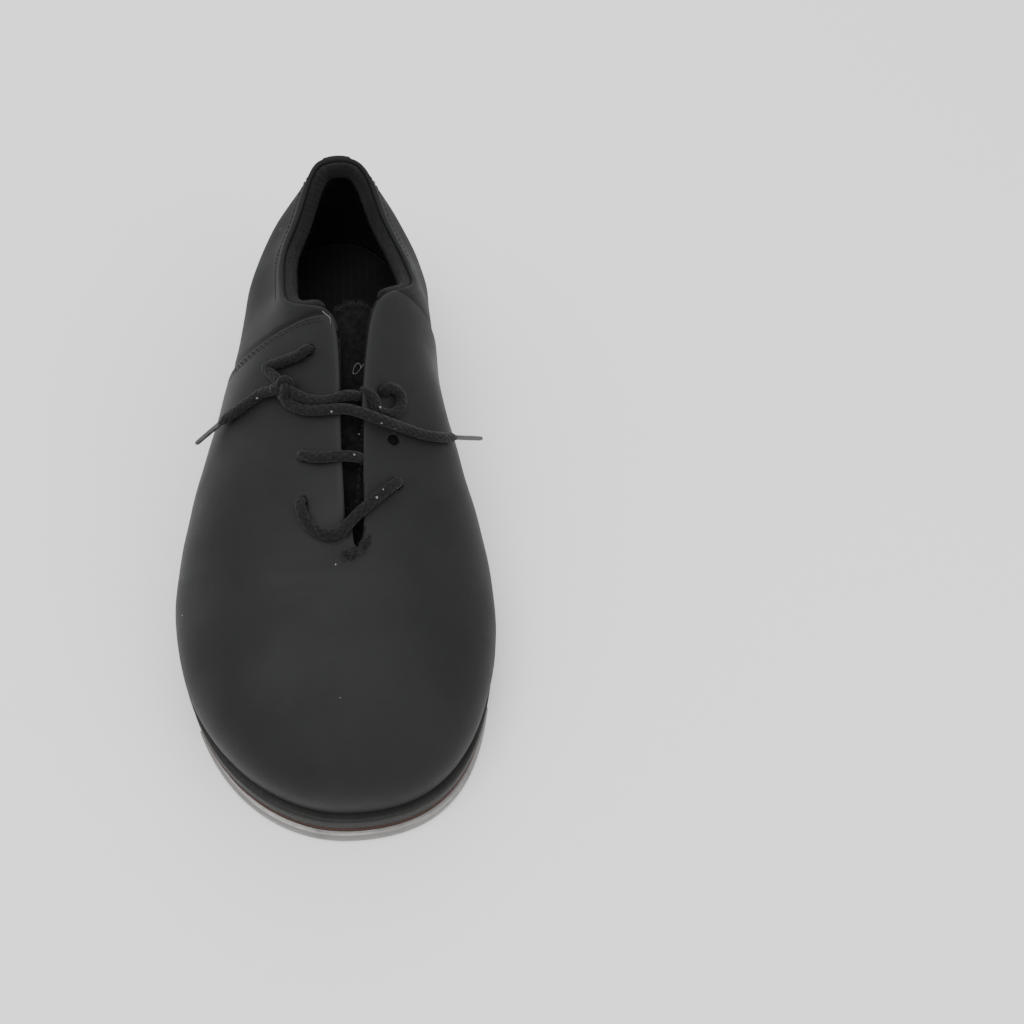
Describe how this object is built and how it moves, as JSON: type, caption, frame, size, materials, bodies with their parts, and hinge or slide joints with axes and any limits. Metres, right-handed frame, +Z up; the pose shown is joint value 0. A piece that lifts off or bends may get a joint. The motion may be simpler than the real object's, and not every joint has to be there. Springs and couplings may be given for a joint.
{
  "type": "tap shoe",
  "caption": "Lace-up leather tap shoe with a padded collar, a full sole that bends at the ball, and metal toe and heel taps on fibre sound boards.",
  "frame": {"origin": "on the floor under the middle of the shoe, halfway between the tip of the toe and the back of the heel", "axes": "+Z up, +Y along the shoe from the toe to the heel, +X towards the inner (medial) side of the foot"},
  "size_m": [0.1118, 0.2575, 0.0832],
  "materials": {
    "tap_metal": "cast, lightly brushed satin with worn rim",
    "screw_steel": "zinc-plated satin",
    "fibre_board": "matt red-brown pressed fibre",
    "sole_black": "satin black with a ground edge",
    "insole_board": "matt pressed board",
    "sock_fabric": "brushed black fabric",
    "leather_black": "smooth black, fine grain, soft satin sheen",
    "stiffener": "matt stiffener sheet",
    "lining_fabric": "black foam-backed knit",
    "heel_stack": "satin black, ground edge",
    "shank_steel": "rolled steel",
    "foam": "open-cell foam",
    "collar_knit": "soft fuzzy black knit",
    "tongue_leather": "soft black leather with a raw fuzzy edge",
    "thread": "matt black sewing thread",
    "lace_cord": "braided matt black cord",
    "aglet_film": "grey translucent plastic film"
  },
  "bodies": {
    "forefoot": {"toe_tap": "tap_metal", "toe_tap_screws": "screw_steel", "toe_sound_board": "fibre_board", "outsole_forepart": "sole_black", "insole_board_forepart": "insole_board", "sock_liner_forepart": "sock_fabric", "vamp_toe": "leather_black", "toe_puff": "stiffener", "vamp_lining_toe": "lining_fabric", "vamp_crease": "leather_black", "lining_crease": "lining_fabric"},
    "rearfoot": {"outsole_rear": "sole_black", "shank": "shank_steel", "insole_board_rear": "insole_board", "sock_liner_rear": "sock_fabric", "heel_block": "heel_stack", "heel_board": "fibre_board", "heel_tap": "tap_metal", "heel_tap_screws": "screw_steel", "vamp_instep": "leather_black", "vamp_lining_instep": "lining_fabric", "quarter_medial": "leather_black", "quarter_lateral": "leather_black", "back_strip": "leather_black", "heel_counter": "stiffener", "quarter_lining": "lining_fabric", "collar_foam": "foam", "collar_binding": "collar_knit", "tongue": "tongue_leather", "bar_tack": "thread", "lace": "lace_cord", "lace_end_lateral": "lace_cord", "lace_end_medial": "lace_cord", "aglet_lateral": "aglet_film", "aglet_medial": "aglet_film"}
  },
  "joints": [
    {"name": "ball_flex", "type": "hinge", "parent": "forefoot", "child": "rearfoot", "pos_m": [0, -0.0555, 0.0135], "axis": [1, 0, 0], "range_deg": [0, 30], "stiffness_Nm_per_rad": 3, "deforming": ["vamp_crease", "lining_crease"]}
  ]
}
